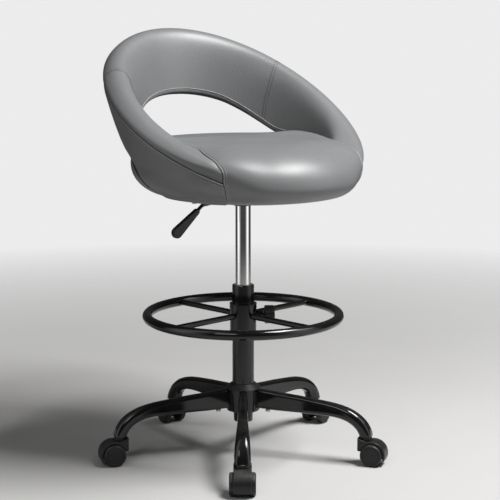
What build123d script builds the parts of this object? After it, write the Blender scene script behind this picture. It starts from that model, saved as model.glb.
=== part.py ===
"""Drafting chair: round bucket seat on a gas lift, foot ring, five-leg base, twin-wheel casters.

Millimetres. The origin is on the floor under the column axis, +Z is up and the seat faces -Y.
A direction round the column is its turn in degrees: 0 is the front, 90 is the sitter's left (+X).
"""
import os
from math import asin, cos, degrees, radians, sin, sqrt

from build123d import *

os.makedirs("parts", exist_ok=True)

# Clearances
FIT_GAP = 0.1       # between pieces fixed in one another
RUN_GAP = 0.3       # between pieces that turn or slide on one another
SOFT_GAP = 0.4      # between a cushion and what it lies against
WHEEL_GAP = 1.5     # between a wheel tread and its fender

# Base: hub, five bolted oval tube legs, and the column standing in the hub
LEG_COUNT = 5
BASE_TURN = -36.3
HUB_R = 37.5
HUB_LOW = 102.0
HUB_TOP = 153.0
LEG_WALL = 2.2
LEG_END_R = 291.5
LEG_END_Z = 64.7
SPIGOT_END = 86.0
LEG_BOLT_R = 60.0
LEG_BOLT_D = 6.0
BOLT_HEAD_D = 11.0
BOLT_HEAD_H = 4.0
SOCKET_H = 12.0
CAP_R = 41.0
CAP_TOP = 165.0
# one row per section of a leg: reach as a share of LEG_END_R, height, downward pitch, width, depth, corner radius
LEG_SECTIONS = [
    (0.1166, 129.7, 2.5, 20.0, 46.5, 8.0),
    (0.2539, 127.8, 2.8, 20.4, 43.7, 8.2),
    (0.3911, 125.7, 3.2, 21.0, 40.6, 8.5),
    (0.5283, 123.3, 3.8, 21.8, 37.2, 8.9),
    (0.6621, 120.4, 5.5, 23.4, 33.4, 9.6),
    (0.7856, 115.6, 13.0, 27.0, 30.2, 11.0),
    (0.8919, 104.4, 31.0, 32.0, 28.4, 12.3),
    (0.9657, 86.5, 56.0, 35.2, 27.2, 11.8),
    (1.0034, 58.0, 83.0, 36.5, 26.5, 11.5),
]

# Column and gas lift
COLUMN_D = 50.0
COLUMN_TOP = 395.0
COLUMN_WALL = 2.4
TAPER_D = 43.0
TAPER_LOW = 76.0
TAPER_TOP = 151.0
COLUMN_FLOOR = 4.0
COLUMN_ROUND = 2.0
ROD_D = 10.0
ROD_LOW = 70.0
ROD_TOP = 292.0
ROD_HOLE_D = 13.0
BEARING_D = 34.0
BEARING_H = 7.0
COLLAR_D = 22.0
COLLAR_H = 5.0
CLIP_D = 17.0
CLIP_H = 2.0
CLIP_Z = 72.5
CLIP_GROOVE = 1.0
CYLINDER_D = 34.5
CYLINDER_WALL = 1.5
CYLINDER_LOW = 240.0
CYLINDER_SEAL = 12.0
CYLINDER_HEAD = 560.0
CYLINDER_SHOULDER = 577.0
CYLINDER_TOP = 587.0
CYLINDER_TIP_D = 33.0
TIP_TAPER = 0.6
PISTON_H = 15.0
BUSH_LOW = 225.0
PIN_D = 9.0
PIN_RISE = 0.8
PIN_DEPTH = 14.0

# Foot ring
RING_R = 219.0
RING_TUBE_D = 22.0
RING_WALL = 2.0
RING_Z = 324.0
RING_TURN = 8.7
SPOKE_COUNT = 4
SPOKE_D = 13.5
SPOKE_DEPTH = 2.0
RING_HUB_D = 60.0
RING_HUB_LOW = 289.0
RING_HUB_TOP = 352.0
RING_HUB_LIP_D = 62.0
RING_HUB_LIP_H = 12.0
RING_SLEEVE_WALL = 2.0
KNOB_TURN = 58.7
KNOB_D = 42.0
KNOB_H = 22.0
KNOB_NEAR = 49.0
KNOB_LOBES = 8
KNOB_LOBE_D = 7.0
STUD_D = 8.0
BOSS_D = 18.0
BOSS_END = 45.0

# Casters, in their own frame: stem on the Z axis, wheels trailing along +X
WHEEL_R = 25.0
WHEEL_W = 15.0
WHEEL_GAUGE = 27.0
WHEEL_ROUND = 2.0
WHEEL_DOME = 4.5
WHEEL_LINE_R = 19.0
WHEEL_LINE_W = 1.2
WHEEL_LINE_H = 0.6
WHEEL_SKIN = 1.4
WHEEL_WEB = 6.0
CASTER_TRAIL = 16.5
FENDER_R = 31.0
FENDER_W = 39.0
FENDER_FOOT = -25.0
FENDER_ROUND = 2.0
HOOD_TOP = 62.0
HOOD_BOSS_D = 27.0
HOOD_SADDLE = 104.0
HOOD_INNER = -16.0
HOOD_APRON = 33.0
HOOD_CORE_R = 12.0
HOOD_SIDE = 0.5
STEM_D = 11.0
STEM_LOW = 38.0
STEM_TOP = 74.0
STEM_COLLAR_D = 21.0
AXLE_D = 6.0
AXLE_L = 53.0

# Seat plate, lever and seat board
BOARD_Z = 602.0
BOARD_T = 12.0
BOARD_R = 188.0
PLATE_SIDE = 150.0
PLATE_T = 3.0
PLATE_ROUND = 12.0
SOCKET_D = 46.0
PLATE_BOLT_SPAN = 120.0
LEVER_Z = 594.5
LEVER_D = 8.0
LEVER_NEAR = 6.0
LEVER_PIVOT = 30.0
LEVER_BEND = 111.2
LEVER_SLOPE = 7.0
LEVER_PITCH = 39.4
LEVER_SLOT_W = 12.0
PIVOT_D = 3.0
LUG_T = 3.0
LUG_GAP = 1.0
LUG_L = 12.0
LUG_H = 11.0
GRIP_START = 14.0
GRIP_L = 86.0
GRIP_NECK = 13.0
GRIP_W = 25.0
GRIP_T = 11.0
GRIP_COLLAR = 15.0
GRIP_DEPTH = 32.0
GRIP_ROUND = 2.5
GRIP_PANEL_DEPTH = 0.8

# Seat cushion: a round pad with rolled edges
SEAT_R = 259.0
SEAT_Y = -13.0
SEAT_SIDE = 72.0        # rise of the side that tucks in under the seat
SEAT_SHOULDER = 53.0    # rise from the widest line to the edge of the top
SEAT_CROWN = 6.0
SEAT_TUCK = 75.0
SEAT_ROLL = 105.0

# Backrest: a padded band whose top roll follows a leaning circle
ROLL_OUT = 4.5      # how far the roll's circle is larger than the seat
ROLL_Y = 31.5
ROLL_Z = 757.5
ROLL_SLOPE = 0.623
ROLL_D = 60.0
BAND_PROUD = 2.0
BAND_GAP = 1.2      # between the band and the seat
BAND_TAPER = 10.0
BAND_END = 45.0
BAND_STEP = 9.0
BAND_SPARE = 8.0    # how far the cut for the band runs out past the seat's side
# height of the band's lower edge at every step, from a front end to the middle of the back
BAND_LOW = [
    605, 605, 605, 605, 606, 622, 663, 692, 710, 724, 744, 767, 788, 804, 813.5, 816.6,
]

# Frame inside the backrest
HOOP_D = 14.0
STRAP_TURN = 72.0
STRAP_T = 4.0
STRAP_W = 50.0
STRAP_IN = 150.0
STRAP_CORNER = 207.0
STRAP_KNEE = (237.0, 662.0)
STRAP_BEND = 22.0
FRAME_BOLT_R = (158.0, 178.0)


seat_low = BOARD_Z
seat_waist = seat_low + SEAT_SIDE
seat_edge = seat_waist + SEAT_SHOULDER
seat_top = seat_edge + SEAT_CROWN
roll_r = SEAT_R + ROLL_OUT


def facing(turn):
    """Turn a piece built along +X to point in direction turn."""
    return Rot(0, 0, turn - 90)


def upright(turn):
    """Vertical plane through the column axis: local x is the reach, local y the height."""
    a = radians(turn)
    return Plane(origin=(0, 0, 0), x_dir=(sin(a), -cos(a), 0), z_dir=(-cos(a), -sin(a), 0))


def reach(radius, centre_y, turn):
    """Distance from the column axis to a circle centred at (0, centre_y), in direction turn."""
    a = radians(turn)
    return -centre_y * cos(a) + sqrt(radius**2 - (centre_y * sin(a)) ** 2)


def turned(points):
    """Solid of revolution about Z from (radius, height) points."""
    return revolve(Plane.XZ * make_face(Polyline(*points, close=True)), Axis.Z)


def disc(diameter, low, high):
    """Upright cylinder about Z between two heights."""
    return Pos(0, 0, low) * Cylinder(diameter / 2, high - low, align=(Align.CENTER, Align.CENTER, Align.MIN))


def tube(outer, inner, low, high):
    """Upright tube about Z between two heights."""
    return disc(outer, low, high) - disc(inner, low - 1, high + 1)


def bar(diameter, start, end):
    """Round bar between two points."""
    path = Line(start, end)
    return sweep(Plane(origin=start, z_dir=path % 0) * Circle(diameter / 2), path=path)


def save(name, shape):
    """Write one piece to its own file."""
    shape.label = name
    export_step(shape, f"parts/{name}.step")


def leg_form(inset):
    """A leg drawn in by inset all round, along +X."""
    faces = []
    for share, z, pitch, width, depth, corner in LEG_SECTIONS:
        a = radians(pitch)
        plane = Plane(origin=(share * LEG_END_R, 0, z), x_dir=(0, 1, 0), z_dir=(cos(a), 0, -sin(a)))
        faces.append(plane * RectangleRounded(width - 2 * inset, depth - 2 * inset, corner - inset))
    return loft(faces)


def slab(low, high, start=0.0, end=2 * LEG_END_R):
    """Block along +X between two heights, wide enough to trim a leg."""
    box = Box(end - start, 2 * HUB_R, high - low, align=(Align.MIN, Align.CENTER, Align.MIN))
    return Pos(start, 0, low) * box


leg_turns = [BASE_TURN + 360 / LEG_COUNT * k for k in range(LEG_COUNT)]
taper_rise = (COLUMN_D - TAPER_D) / 2 / (TAPER_TOP - TAPER_LOW)


def taper_r(z):
    """Outer radius of the column's tapered foot at height z."""
    return TAPER_D / 2 + taper_rise * (z - TAPER_LOW)


# Base hub with a spigot for each leg
leg_bolt_z = 105.6
leg_bolt = Pos(LEG_BOLT_R, 0, 0) * disc(LEG_BOLT_D, leg_bolt_z, leg_bolt_z + 16)
leg_bolt_hole = Pos(LEG_BOLT_R, 0, 0) * disc(LEG_BOLT_D + 2 * FIT_GAP, HUB_LOW - 10, leg_bolt_z + 17)
hub_bore = turned([
    (0, HUB_LOW - 1),
    (taper_r(HUB_LOW - 1) + FIT_GAP, HUB_LOW - 1),
    (taper_r(HUB_TOP + 1) + FIT_GAP, HUB_TOP + 1),
    (0, HUB_TOP + 1),
])
spigot = leg_form(LEG_WALL + FIT_GAP) & slab(HUB_LOW, HUB_TOP, HUB_R - 3, SPIGOT_END)
spigot -= leg_bolt_hole
base_hub = disc(2 * HUB_R, HUB_LOW, HUB_TOP)
for turn in leg_turns:
    base_hub += facing(turn) * spigot
base_hub -= hub_bore
save("base_hub", base_hub)

# Legs, their bolts, and the caster sockets pressed into their ends
leg = leg_form(0) - leg_form(LEG_WALL)
leg -= disc(2 * (HUB_R + FIT_GAP), HUB_LOW - 20, HUB_TOP + 20)
leg -= leg_bolt_hole
leg -= slab(0, LEG_END_Z)
bolt = leg_bolt + Pos(LEG_BOLT_R, 0, 0) * disc(BOLT_HEAD_D, leg_bolt_z - BOLT_HEAD_H, leg_bolt_z)
stem_bore = Pos(LEG_END_R, 0, 0) * disc(STEM_D + 2 * RUN_GAP, LEG_END_Z - 1, LEG_END_Z + SOCKET_H + 1)
socket = leg_form(LEG_WALL + FIT_GAP) & slab(LEG_END_Z, LEG_END_Z + SOCKET_H, LEG_END_R - 40)
socket -= stem_bore
for k, turn in enumerate(leg_turns):
    save(f"base_leg_{k + 1}", facing(turn) * leg)
save("leg_bolts", Compound(children=[facing(turn) * bolt for turn in leg_turns]))
save("caster_sockets", Compound(children=[facing(turn) * socket for turn in leg_turns]))

# Cone that covers the top of the hub
cap_bore = COLUMN_D / 2 + FIT_GAP
save("hub_cap", turned([
    (cap_bore, HUB_TOP + 0.4),
    (CAP_R, HUB_TOP + 0.4),
    (CAP_R, HUB_TOP + 2),
    (cap_bore + 3, CAP_TOP),
    (cap_bore, CAP_TOP),
]))

# Column tube with its tapered foot and floor
column_in = COLUMN_D / 2 - COLUMN_WALL
save("column_tube", turned([
    (ROD_HOLE_D / 2, TAPER_LOW),
    (TAPER_D / 2, TAPER_LOW),
    (COLUMN_D / 2, TAPER_TOP),
    (COLUMN_D / 2, COLUMN_TOP - COLUMN_ROUND),
    (COLUMN_D / 2 - COLUMN_ROUND * 0.3, COLUMN_TOP - COLUMN_ROUND * 0.3),
    (COLUMN_D / 2 - COLUMN_ROUND, COLUMN_TOP),
    (column_in, COLUMN_TOP),
    (column_in, TAPER_TOP),
    (TAPER_D / 2 - COLUMN_WALL, TAPER_LOW + COLUMN_FLOOR),
    (ROD_HOLE_D / 2, TAPER_LOW + COLUMN_FLOOR),
]))

# Plastic guide bush in the column, and the bearing the rod stands on
save("guide_bush", tube(2 * (column_in - FIT_GAP), CYLINDER_D + 2 * RUN_GAP, BUSH_LOW, COLUMN_TOP - 0.5))
bearing_z = TAPER_LOW + COLUMN_FLOOR
save("thrust_bearing", tube(BEARING_D, ROD_HOLE_D, bearing_z, bearing_z + BEARING_H))

# Piston rod, which turns on the bearing, and the clip under the column floor
collar_z = bearing_z + BEARING_H + RUN_GAP
piston_r = CYLINDER_D / 2 - CYLINDER_WALL - RUN_GAP
groove_r = ROD_D / 2 - CLIP_GROOVE
piston_rod = disc(ROD_D, ROD_LOW, ROD_TOP)
piston_rod += disc(COLLAR_D, collar_z, collar_z + COLLAR_H)
piston_rod += disc(2 * piston_r, ROD_TOP - PISTON_H, ROD_TOP)
piston_rod -= tube(CLIP_D, 2 * groove_r, CLIP_Z, CLIP_Z + CLIP_H)
save("piston_rod", piston_rod)
save("rod_clip", tube(CLIP_D, 2 * (groove_r + FIT_GAP), CLIP_Z + FIT_GAP, CLIP_Z + CLIP_H - FIT_GAP))

# Gas cylinder: closed head with a taper, sealed foot round the rod
cylinder_r = CYLINDER_D / 2
cylinder_in = cylinder_r - CYLINDER_WALL
tip_r = CYLINDER_TIP_D / 2
pin_hole = PIN_D / 2 + RUN_GAP
pin_low = CYLINDER_TOP - PIN_DEPTH
save("gas_cylinder", turned([
    (ROD_D / 2 + RUN_GAP, CYLINDER_LOW),
    (cylinder_r, CYLINDER_LOW),
    (cylinder_r, CYLINDER_SHOULDER - 1),
    (tip_r, CYLINDER_SHOULDER - 1),
    (tip_r - TIP_TAPER, CYLINDER_TOP),
    (pin_hole, CYLINDER_TOP),
    (pin_hole, pin_low),
    (0, pin_low),
    (0, CYLINDER_HEAD),
    (cylinder_in, CYLINDER_HEAD),
    (cylinder_in, CYLINDER_LOW + CYLINDER_SEAL),
    (ROD_D / 2 + RUN_GAP, CYLINDER_LOW + CYLINDER_SEAL),
]))
save("release_pin", disc(PIN_D, pin_low, CYLINDER_TOP + PIN_RISE))

# Seat plate: flange, taper socket with a slot for the lever, and the lever's two lugs
plate_low = BOARD_Z - PLATE_T
plate_centre = Pos(0, 0, plate_low)
seat_plate = plate_centre * extrude(RectangleRounded(PLATE_SIDE, PLATE_SIDE, PLATE_ROUND), PLATE_T)
seat_plate += disc(SOCKET_D, CYLINDER_SHOULDER, BOARD_Z)
seat_plate -= turned([
    (0, CYLINDER_SHOULDER - 1),
    (tip_r + FIT_GAP, CYLINDER_SHOULDER - 1),
    (tip_r - TIP_TAPER + FIT_GAP, CYLINDER_TOP),
    (tip_r - TIP_TAPER + FIT_GAP, BOARD_Z + 1),
    (0, BOARD_Z + 1),
])
slot_h = plate_low - CYLINDER_TOP
seat_plate -= Pos(-SOCKET_D / 2, 0, CYLINDER_TOP + slot_h / 2) * Box(SOCKET_D, LEVER_SLOT_W, slot_h)
lug_y = LEVER_D / 2 + LUG_GAP + LUG_T / 2
lug = Box(LUG_L, LUG_T, LUG_H, align=(Align.CENTER, Align.CENTER, Align.MAX))
pivot_at = Pos(-LEVER_PIVOT, 0, LEVER_Z)
pivot_length = 2 * (lug_y + LUG_T)
for side in (-1, 1):
    seat_plate += Pos(-LEVER_PIVOT, side * lug_y, plate_low) * lug
seat_plate -= pivot_at * Rot(90, 0, 0) * Cylinder(PIVOT_D / 2 + FIT_GAP, pivot_length)
half_span = PLATE_BOLT_SPAN / 2
bolt_spots = [(x, y) for x in (-half_span, half_span) for y in (-half_span, half_span)]
bolt_top = BOARD_Z + BOARD_T - 2
for x, y in bolt_spots:
    seat_plate -= Pos(x, y, 0) * disc(LEG_BOLT_D + 2 * FIT_GAP, plate_low - 1, BOARD_Z + 1)
save("seat_plate", seat_plate)
save("lever_pivot", pivot_at * Rot(90, 0, 0) * Cylinder(PIVOT_D / 2, pivot_length))

# Frame of the backrest: a bent hoop on two straps bolted to the seat board
lean = sqrt(1 + ROLL_SLOPE**2)
roll_z = ROLL_Z + ROLL_SLOPE * ROLL_Y
roll_plane = Plane(origin=(0, ROLL_Y, roll_z), x_dir=(1, 0, 0), z_dir=(0, -ROLL_SLOPE, 1))


def roll_centre(turn):
    """Reach and height of the centre of the top roll in direction turn."""
    r = reach(roll_r, ROLL_Y, turn)
    return r, ROLL_Z - ROLL_SLOPE * r * cos(radians(turn))


hoop_r, hoop_z = roll_centre(STRAP_TURN)
hoop_start = degrees(asin((-hoop_r * cos(radians(STRAP_TURN)) - ROLL_Y) / roll_r))
hoop_path = roll_plane * EllipticalCenterArc(
    (0, 0), roll_r, roll_r * lean, start_angle=hoop_start, arc_size=180 - 2 * hoop_start
)
foot_z = BOARD_Z + BOARD_T + STRAP_T / 2
strap_line = FilletPolyline(
    (STRAP_IN, foot_z), (STRAP_CORNER, foot_z), STRAP_KNEE, (hoop_r, hoop_z), radius=STRAP_BEND
)


def hoop_form(grow):
    """The bent hoop, grown by grow all round."""
    start = Plane(origin=hoop_path @ 0, z_dir=hoop_path % 0)
    return sweep(start * Circle(HOOP_D / 2 + grow), path=hoop_path)


def strap_form(turn, grow):
    """One bent strap, grown by grow all round."""
    face = upright(turn) * trace(strap_line, STRAP_T + 2 * grow)
    return extrude(face, STRAP_W / 2 + grow, both=True)


frame_turns = (STRAP_TURN, -STRAP_TURN)
frame_spots = [(turn, r) for turn in frame_turns for r in FRAME_BOLT_R]
frame_bolt_top = foot_z + STRAP_T / 2
back_frame = hoop_form(0)
for turn in frame_turns:
    back_frame += strap_form(turn, 0)
for turn, r in frame_spots:
    hole = disc(LEG_BOLT_D + 2 * FIT_GAP, foot_z - STRAP_T, foot_z + STRAP_T)
    back_frame -= facing(turn) * Pos(r, 0, 0) * hole
save("back_frame", back_frame)

# Seat board and the bolts of plate and frame
board = Pos(0, SEAT_Y, 0) * disc(2 * BOARD_R, BOARD_Z, BOARD_Z + BOARD_T)
for x, y in bolt_spots:
    board -= Pos(x, y, 0) * disc(LEG_BOLT_D + 2 * FIT_GAP, BOARD_Z - 1, bolt_top + FIT_GAP)
for turn, r in frame_spots:
    board -= facing(turn) * Pos(r, 0, 0) * disc(LEG_BOLT_D + 2 * FIT_GAP, BOARD_Z - 1, BOARD_Z + BOARD_T + 1)
save("seat_board", board)


def board_bolt(seat, top):
    """Bolt put in from below with its head under height seat."""
    return disc(LEG_BOLT_D, seat, top) + disc(BOLT_HEAD_D, seat - BOLT_HEAD_H, seat)


plate_bolt = board_bolt(plate_low, bolt_top)
frame_bolt = board_bolt(BOARD_Z, frame_bolt_top)
save("plate_bolts", Compound(children=[Pos(x, y, 0) * plate_bolt for x, y in bolt_spots]))
save("frame_bolts", Compound(children=[facing(t) * Pos(r, 0, 0) * frame_bolt for t, r in frame_spots]))


# Backrest cushion: upright sections joined round the back
def wall_reach(turn, z, roll_out, roll_at):
    """Reach of the band's outer wall: it tucks in below the waist and runs straight to the roll above."""
    waist = reach(SEAT_R + BAND_PROUD, SEAT_Y, turn)
    if z < seat_waist:
        drop = (seat_waist - z) / (seat_waist - seat_low)
        return waist - SEAT_TUCK * (1 - sqrt(1 - drop**2))
    if roll_at <= seat_waist:
        return waist
    return waist + (roll_out - waist) * (z - seat_waist) / (roll_at - seat_waist)


def band_section(turn, low, grow, spare):
    """Closed section of the band in direction turn, grown by grow, its outer side moved out by spare."""
    r, z = roll_centre(turn)
    roll = ROLL_D / 2 + grow
    edge = low - grow
    inner = r - roll - BAND_TAPER
    points = []
    for part in (0.1, 0.35, 0.7):
        level = edge + (z - edge) * part
        points.append((wall_reach(turn, max(level, seat_low), r + roll, z) + grow + spare, level))
    for angle in range(0, 181, 30):
        points.append((r + roll * cos(radians(angle)), z + roll * sin(radians(angle))))
    points.append((r - roll - BAND_TAPER * 0.5, edge + (z - edge) * 0.5))
    points.append((inner, edge + (z - edge) * 0.1))
    foot = (inner + wall_reach(turn, max(edge, seat_low), r + roll, z)) / 2
    points.append((foot, edge - spare if edge < foot_z + spare else edge))
    return upright(turn) * make_face(Polyline(*points, close=True))


def band_form(grow, spare):
    """The whole band from one front end round the back to the other."""
    half = [(BAND_END + BAND_STEP * k, low) for k, low in enumerate(BAND_LOW)]
    rows = half + [(360 - turn, low) for turn, low in reversed(half[:-1])]
    return loft([band_section(turn, low, grow, spare) for turn, low in rows])


backrest = band_form(0, 0) - hoop_form(SOFT_GAP)
for turn in frame_turns:
    backrest -= strap_form(turn, SOFT_GAP)
save("backrest_cushion", backrest)

# Seat cushion: revolved pad, open below for the board, cut away where the band wraps it
profile = Plane.XZ * make_face([
    Line((0, seat_low), (SEAT_R - SEAT_TUCK, seat_low)),
    EllipticalCenterArc(
        (SEAT_R - SEAT_TUCK, seat_waist), SEAT_TUCK, seat_waist - seat_low, start_angle=270, arc_size=90
    ),
    EllipticalCenterArc(
        (SEAT_R - SEAT_ROLL, seat_waist), SEAT_ROLL, seat_edge - seat_waist, start_angle=0, arc_size=90
    ),
    Spline((SEAT_R - SEAT_ROLL, seat_edge), (0, seat_top), tangents=((-1, 0), (-1, 0))),
    Line((0, seat_top), (0, seat_low)),
])
seat = revolve(profile, Axis.Z)
seat -= disc(2 * (BOARD_R + SOFT_GAP), seat_low - 1, BOARD_Z + BOARD_T + SOFT_GAP)
seat = Pos(0, SEAT_Y, 0) * seat
seat -= band_form(BAND_GAP, BAND_SPARE)
for turn in frame_turns:
    seat -= strap_form(turn, SOFT_GAP)
save("seat_cushion", max(seat.solids(), key=lambda body: body.volume))

# Lever rod: level over the release pin, then down under the seat and out to the grip
drop = radians(LEVER_PITCH)
slope = radians(LEVER_SLOPE)
bend_z = LEVER_Z - (LEVER_BEND - LEVER_PIVOT) * sin(slope) / cos(slope)
grip_in = (-LEVER_BEND - GRIP_START * cos(drop), bend_z - GRIP_START * sin(drop))
grip_mid = GRIP_START + GRIP_DEPTH
rod_end = (-LEVER_BEND - grip_mid * cos(drop), bend_z - grip_mid * sin(drop))
lever_path = Plane.XZ * FilletPolyline(
    (-LEVER_NEAR, LEVER_Z), (-LEVER_PIVOT - 4, LEVER_Z), (-LEVER_BEND, bend_z), rod_end, radius=10
)


def lever_form(grow):
    """Lever rod grown by grow in radius."""
    start = Plane(origin=lever_path @ 0, z_dir=lever_path % 0)
    return sweep(start * Circle(LEVER_D / 2 + grow), path=lever_path)


lever_rod = lever_form(0) - pivot_at * Rot(90, 0, 0) * Cylinder(PIVOT_D / 2 + RUN_GAP, LEVER_D * 2)
save("lever_rod", lever_rod)

# Grip: flat paddle with a neck, on the end of the rod
grip_plane = Plane(
    origin=(grip_in[0], 0, grip_in[1]), x_dir=(-cos(drop), 0, -sin(drop)), z_dir=(0, -1, 0)
)
tip_x = GRIP_L - GRIP_W / 2
blade = make_hull([
    *(Pos(GRIP_NECK / 2, 0) * Circle(GRIP_NECK / 2)).edges(),
    *(Pos(tip_x, 0) * Circle(GRIP_W / 2)).edges(),
])
panel = make_hull([
    *(Pos(GRIP_COLLAR + 18, 0) * Circle(GRIP_NECK / 2 - 2)).edges(),
    *(Pos(tip_x, 0) * Circle(GRIP_W / 2 - 3)).edges(),
])
grip = extrude(grip_plane * blade, GRIP_T / 2, both=True)
grip = fillet(grip.edges().group_by(Axis.Y)[0] + grip.edges().group_by(Axis.Y)[-1], GRIP_ROUND)
for side in (-1, 1):
    skin = Pos(0, side * GRIP_T / 2, 0) * grip_plane * panel
    grip -= extrude(skin, GRIP_PANEL_DEPTH, both=True)
grip -= lever_form(FIT_GAP)
save("lever_grip", grip)

# Foot ring: bent tube, four spokes, hub with a boss, sleeve on the column
ring = Pos(0, 0, RING_Z) * Torus(RING_R, RING_TUBE_D / 2)
ring_in = Pos(0, 0, RING_Z) * Torus(RING_R, RING_TUBE_D / 2 - RING_WALL)
save("foot_ring", ring - ring_in)
ring_hub_r = RING_HUB_D / 2
spoke_turns = [RING_TURN + 360 / SPOKE_COUNT * k for k in range(SPOKE_COUNT)]
spoke = bar(SPOKE_D, (ring_hub_r - SPOKE_DEPTH, 0, RING_Z), (RING_R, 0, RING_Z))
spoke -= Pos(0, 0, RING_Z) * Torus(RING_R, RING_TUBE_D / 2 + FIT_GAP / 2)
spoke_hole = bar(SPOKE_D + 2 * FIT_GAP, (ring_hub_r - SPOKE_DEPTH - FIT_GAP, 0, RING_Z), (RING_R, 0, RING_Z))
for k, turn in enumerate(spoke_turns):
    save(f"foot_spoke_{k + 1}", facing(turn) * spoke)
sleeve_out = COLUMN_D + 2 * (RUN_GAP + RING_SLEEVE_WALL)
stud_hole = bar(STUD_D + 2 * RUN_GAP, (COLUMN_D / 2 - 5, 0, RING_Z), (BOSS_END + 5, 0, RING_Z))
ring_hub = disc(RING_HUB_D, RING_HUB_LOW, RING_HUB_TOP)
ring_hub += disc(RING_HUB_LIP_D, RING_HUB_TOP - RING_HUB_LIP_H, RING_HUB_TOP)
ring_hub += facing(KNOB_TURN) * bar(BOSS_D, (ring_hub_r - 4, 0, RING_Z), (BOSS_END, 0, RING_Z))
ring_hub -= disc(sleeve_out + 2 * FIT_GAP, RING_HUB_LOW - 1, RING_HUB_TOP + 1)
ring_hub -= facing(KNOB_TURN) * stud_hole
for turn in spoke_turns:
    ring_hub -= facing(turn) * spoke_hole
save("foot_hub", ring_hub)
sleeve = tube(sleeve_out, COLUMN_D + 2 * RUN_GAP, RING_HUB_LOW, RING_HUB_TOP)
save("foot_sleeve", sleeve - facing(KNOB_TURN) * stud_hole)

# Clamp knob with its stud, along +X before it is turned into place
knob_plane = Plane(origin=(KNOB_NEAR, 0, RING_Z), x_dir=(0, 1, 0), z_dir=(1, 0, 0))
knob = extrude(knob_plane * Circle(KNOB_D / 2), KNOB_H)
knob = fillet(knob.edges(), 2.5)
lobe_spots = PolarLocations(KNOB_D / 2 + 1, KNOB_LOBES)
lobes = Sketch() + [spot * Circle(KNOB_LOBE_D / 2) for spot in lobe_spots]
knob -= extrude(knob_plane * lobes, KNOB_H)
stud = bar(STUD_D, (COLUMN_D / 2 + RUN_GAP, 0, RING_Z), (KNOB_NEAR + 1, 0, RING_Z))
save("clamp_knob", facing(KNOB_TURN) * (knob + stud))

# Caster pieces in the caster's own frame
axle_at = (CASTER_TRAIL, WHEEL_R)
core_w = WHEEL_GAUGE - 2 * HOOD_SIDE
fender_in = WHEEL_R + WHEEL_GAP
foot = radians(FENDER_FOOT)
saddle = radians(HOOD_SADDLE)
back = radians(166)
fender_lines = [
    CenterArc(axle_at, FENDER_R, FENDER_FOOT, HOOD_SADDLE - FENDER_FOOT),
    Polyline(
        (CASTER_TRAIL + FENDER_R * cos(saddle), WHEEL_R + FENDER_R * sin(saddle)),
        (0, WHEEL_R + FENDER_R),
        (HOOD_INNER, HOOD_TOP),
        (HOOD_INNER, HOOD_APRON),
        (CASTER_TRAIL + fender_in * cos(back), WHEEL_R + fender_in * sin(back)),
    ),
    CenterArc(axle_at, fender_in, 166, FENDER_FOOT - 166),
    Line(
        (CASTER_TRAIL + fender_in * cos(foot), WHEEL_R + fender_in * sin(foot)),
        (CASTER_TRAIL + FENDER_R * cos(foot), WHEEL_R + FENDER_R * sin(foot)),
    ),
]
fender = extrude(Plane.XZ * make_face(fender_lines), FENDER_W / 2, both=True)
sides = fender.faces().filter_by(Axis.Y).edges()
rims = [edge for edge in sides if edge.geom_type != GeomType.CIRCLE or edge.radius == FENDER_R]
fender = fillet(rims, FENDER_ROUND)
core_disc = Pos(*axle_at) * Circle(HOOD_CORE_R)
core_neck = make_face(Polyline(
    (CASTER_TRAIL + 8, WHEEL_R),
    (CASTER_TRAIL + 8, WHEEL_R + fender_in + 2),
    (HOOD_INNER + 2, WHEEL_R + fender_in + 2),
    (HOOD_INNER + 2, HOOD_APRON + 1),
    (CASTER_TRAIL - HOOD_CORE_R, WHEEL_R),
    close=True,
))
core = extrude(Plane.XZ * (core_disc + core_neck), core_w / 2, both=True)
hood = fender + core + disc(HOOD_BOSS_D, WHEEL_R + fender_in, HOOD_TOP)
hood -= disc(STEM_D + 2 * FIT_GAP, STEM_LOW - FIT_GAP, HOOD_TOP + 1)
axle_bar = Pos(CASTER_TRAIL, 0, WHEEL_R) * Rot(90, 0, 0)
hood -= axle_bar * Cylinder(AXLE_D / 2 + FIT_GAP, 2 * WHEEL_GAUGE)
stem = disc(STEM_D, STEM_LOW, STEM_TOP)
stem += disc(STEM_COLLAR_D, HOOD_TOP + FIT_GAP, LEG_END_Z - RUN_GAP)
axle = axle_bar * Cylinder(AXLE_D / 2, AXLE_L)
wheel_in = WHEEL_GAUGE / 2
wheel_out = wheel_in + WHEEL_W
wheel_bore = AXLE_D / 2 + RUN_GAP
dome_r, dome_y = WHEEL_R - WHEEL_DOME, wheel_out - WHEEL_DOME
dome = [
    (dome_r + WHEEL_DOME * cos(radians(a)), dome_y + WHEEL_DOME * sin(radians(a))) for a in (0, 22.5, 45, 67.5, 90)
]
wheel_face = make_face(Polyline(
    (wheel_bore, wheel_in),
    (wheel_bore + 4, wheel_in),
    (wheel_bore + 4, wheel_in + WHEEL_WEB),
    (WHEEL_LINE_R - 2, wheel_in + WHEEL_WEB),
    (WHEEL_LINE_R - 2, wheel_in),
    (WHEEL_R - WHEEL_ROUND, wheel_in),
    (WHEEL_R, wheel_in + WHEEL_ROUND),
    *dome,
    (WHEEL_LINE_R, wheel_out),
    (WHEEL_LINE_R - WHEEL_LINE_W / 2, wheel_out - WHEEL_LINE_H),
    (WHEEL_LINE_R - WHEEL_LINE_W, wheel_out),
    (0, wheel_out),
    (0, wheel_out - WHEEL_SKIN),
    (wheel_bore, wheel_out - WHEEL_SKIN),
    close=True,
))
wheel = revolve(Plane.XZ * wheel_face, Axis.Z)
wheel_left = Pos(CASTER_TRAIL, 0, WHEEL_R) * Rot(-90, 0, 0) * wheel
wheel_right = Pos(CASTER_TRAIL, 0, WHEEL_R) * Rot(90, 0, 0) * wheel

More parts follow.
